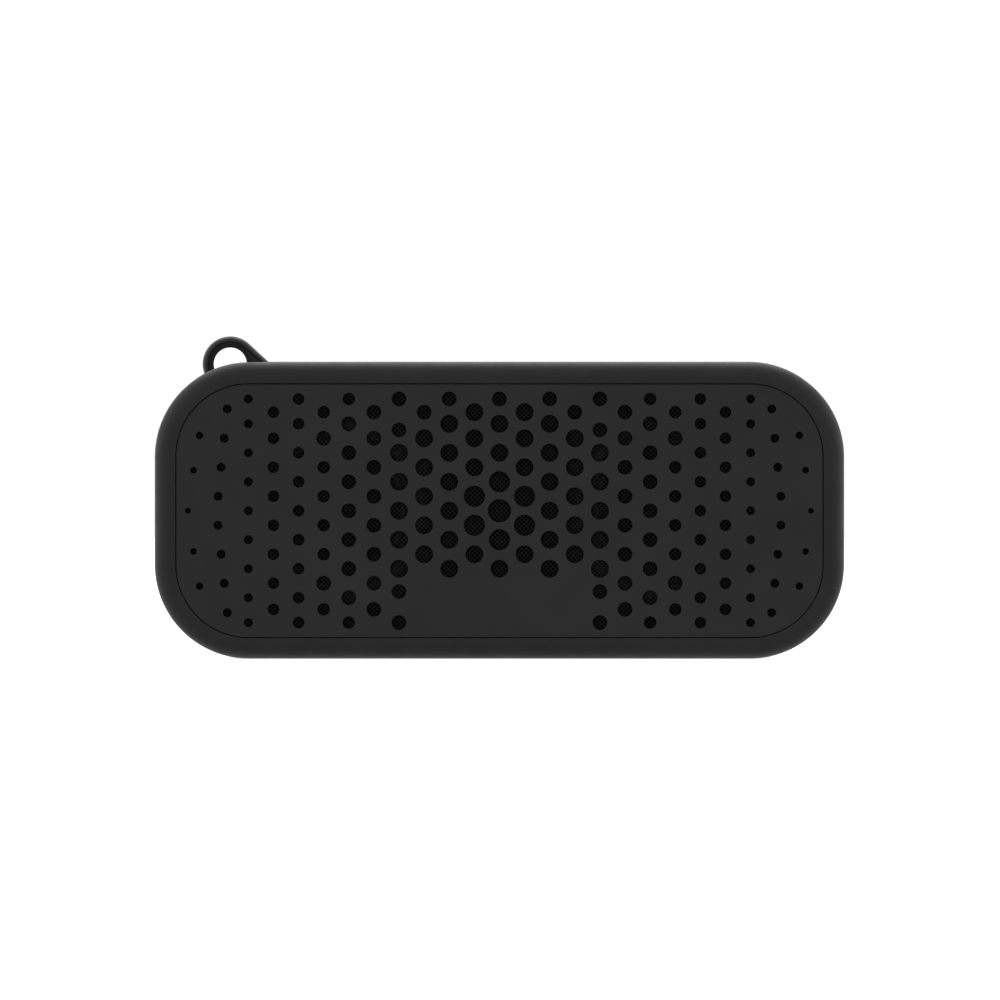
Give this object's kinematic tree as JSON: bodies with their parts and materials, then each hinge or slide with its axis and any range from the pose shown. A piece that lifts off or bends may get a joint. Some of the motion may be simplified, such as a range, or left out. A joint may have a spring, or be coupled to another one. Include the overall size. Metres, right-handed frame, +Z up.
{
  "type": "shower speaker",
  "caption": "Portable shower speaker: a rounded rubber sleeve round a perforated front panel, with top buttons, a rear port flap and a hanging loop at one corner.",
  "frame": {"origin": "middle of the flat bottom, which is the middle of the bounding box's base", "axes": "+X to the right seen from the front, -Y out of the front panel, +Z up"},
  "size_m": [0.1666, 0.052, 0.0777],
  "materials": {
    "sleeve_rubber": "soft-touch matt black rubber, warm tone",
    "button_rubber": "soft-touch matt black rubber",
    "loop_rubber": "semi-matt black moulded rubber",
    "panel_plastic": "fine-grained matt black plastic, slightly cool tone",
    "mesh_metal": "black lacquered perforated sheet",
    "case_plastic": "moulded black plastic",
    "seal_rubber": "black silicone",
    "seal_foam": "black closed-cell foam",
    "screw_steel": "zinc-plated steel",
    "pin_steel": "drawn stainless steel",
    "battery_wrap": "blue heat-shrink wrap",
    "lead_red": "red insulated wire",
    "circuit_board": "green solder mask",
    "port_steel": "stamped stainless steel",
    "port_plastic": "black moulded plastic",
    "chip_plastic": "black epoxy package",
    "capacitor_aluminium": "anodised can",
    "led_lens": "clear to frosted plastic",
    "ribbon_plastic": "pale flat cable",
    "surround_rubber": "black butyl rubber",
    "radiator_plastic": "black moulded plastic",
    "plated_steel": "zinc-plated steel",
    "basket_steel": "black lacquered pressed steel",
    "cone_paper": "black pressed paper",
    "coil_copper": "enamelled copper winding",
    "spider_cloth": "resin-dipped cotton",
    "magnet_ferrite": "dark sintered ferrite"
  },
  "bodies": {
    "root": {"rubber_sleeve": "sleeve_rubber", "front_grille": "panel_plastic", "grille_mesh": "mesh_metal", "chassis": "case_plastic", "case_gasket": "seal_rubber", "rear_cover": "panel_plastic", "case_screws": "screw_steel", "hanging_loop": "loop_rubber", "loop_pin": "pin_steel", "driver_gasket_left": "seal_foam", "driver_gasket_right": "seal_foam", "driver_basket_left": "basket_steel", "driver_basket_right": "basket_steel", "driver_surround_left": "surround_rubber", "driver_surround_right": "surround_rubber", "driver_spider_left": "spider_cloth", "driver_spider_right": "spider_cloth", "driver_top_plate_left": "plated_steel", "driver_top_plate_right": "plated_steel", "driver_magnet_left": "magnet_ferrite", "driver_magnet_right": "magnet_ferrite", "driver_yoke_left": "plated_steel", "driver_yoke_right": "plated_steel", "driver_screws": "screw_steel", "radiator_frame": "case_plastic", "radiator_surround": "surround_rubber", "radiator_screws": "screw_steel", "battery_cell": "battery_wrap", "battery_cradle": "case_plastic", "battery_strap": "seal_foam", "battery_lead": "lead_red", "main_board": "circuit_board", "board_screws": "screw_steel", "usb_port": "port_steel", "aux_jack": "port_plastic", "board_chips": "chip_plastic", "board_capacitors": "capacitor_aluminium", "flap_pin": "pin_steel", "keypad_mat": "seal_rubber", "button_board": "circuit_board", "tact_switches": "port_plastic", "status_led": "led_lens", "light_pipe": "led_lens", "microphone": "port_steel", "ribbon_cable": "ribbon_plastic", "speaker_lead_left": "lead_red", "speaker_lead_right": "lead_red"},
    "power_button": {"power_button": "button_rubber"},
    "minus_button": {"minus_button": "button_rubber"},
    "play_button": {"play_button": "button_rubber"},
    "plus_button": {"plus_button": "button_rubber"},
    "port_flap": {"port_flap": "sleeve_rubber"},
    "left_cone": {"driver_cone_left": "cone_paper", "dust_cap_left": "cone_paper", "voice_coil_left": "coil_copper"},
    "right_cone": {"driver_cone_right": "cone_paper", "dust_cap_right": "cone_paper", "voice_coil_right": "coil_copper"},
    "passive_radiator": {"radiator_plate": "radiator_plastic", "radiator_weight": "plated_steel"}
  },
  "joints": [
    {"name": "power_press", "type": "slide", "parent": "root", "child": "power_button", "axis": [0, 0, -1], "range_m": [0, 0.0005], "stiffness_N_per_m": 2000, "springref_m": -0.0005},
    {"name": "minus_press", "type": "slide", "parent": "root", "child": "minus_button", "axis": [0, 0, -1], "range_m": [0, 0.0005], "stiffness_N_per_m": 2000, "springref_m": -0.0005},
    {"name": "play_press", "type": "slide", "parent": "root", "child": "play_button", "axis": [0, 0, -1], "range_m": [0, 0.0005], "stiffness_N_per_m": 2000, "springref_m": -0.0005},
    {"name": "plus_press", "type": "slide", "parent": "root", "child": "plus_button", "axis": [0, 0, -1], "range_m": [0, 0.0005], "stiffness_N_per_m": 2000, "springref_m": -0.0005},
    {"name": "flap_hinge", "type": "hinge", "parent": "root", "child": "port_flap", "pos_m": [0.0426, 0.0247, 0.0133], "axis": [0, 0, 1], "range_deg": [0, 100]},
    {"name": "left_cone_stroke", "type": "slide", "parent": "root", "child": "left_cone", "axis": [0, 1, 0], "range_m": [-0.0015, 0.0015], "stiffness_N_per_m": 2000, "deforming": ["driver_surround_left", "driver_spider_left"]},
    {"name": "right_cone_stroke", "type": "slide", "parent": "root", "child": "right_cone", "axis": [0, 1, 0], "range_m": [-0.0015, 0.0015], "stiffness_N_per_m": 2000, "deforming": ["driver_surround_right", "driver_spider_right"]},
    {"name": "radiator_stroke", "type": "slide", "parent": "root", "child": "passive_radiator", "axis": [0, 1, 0], "range_m": [-0.002, 0.002], "stiffness_N_per_m": 1000, "deforming": ["radiator_surround"]}
  ]
}
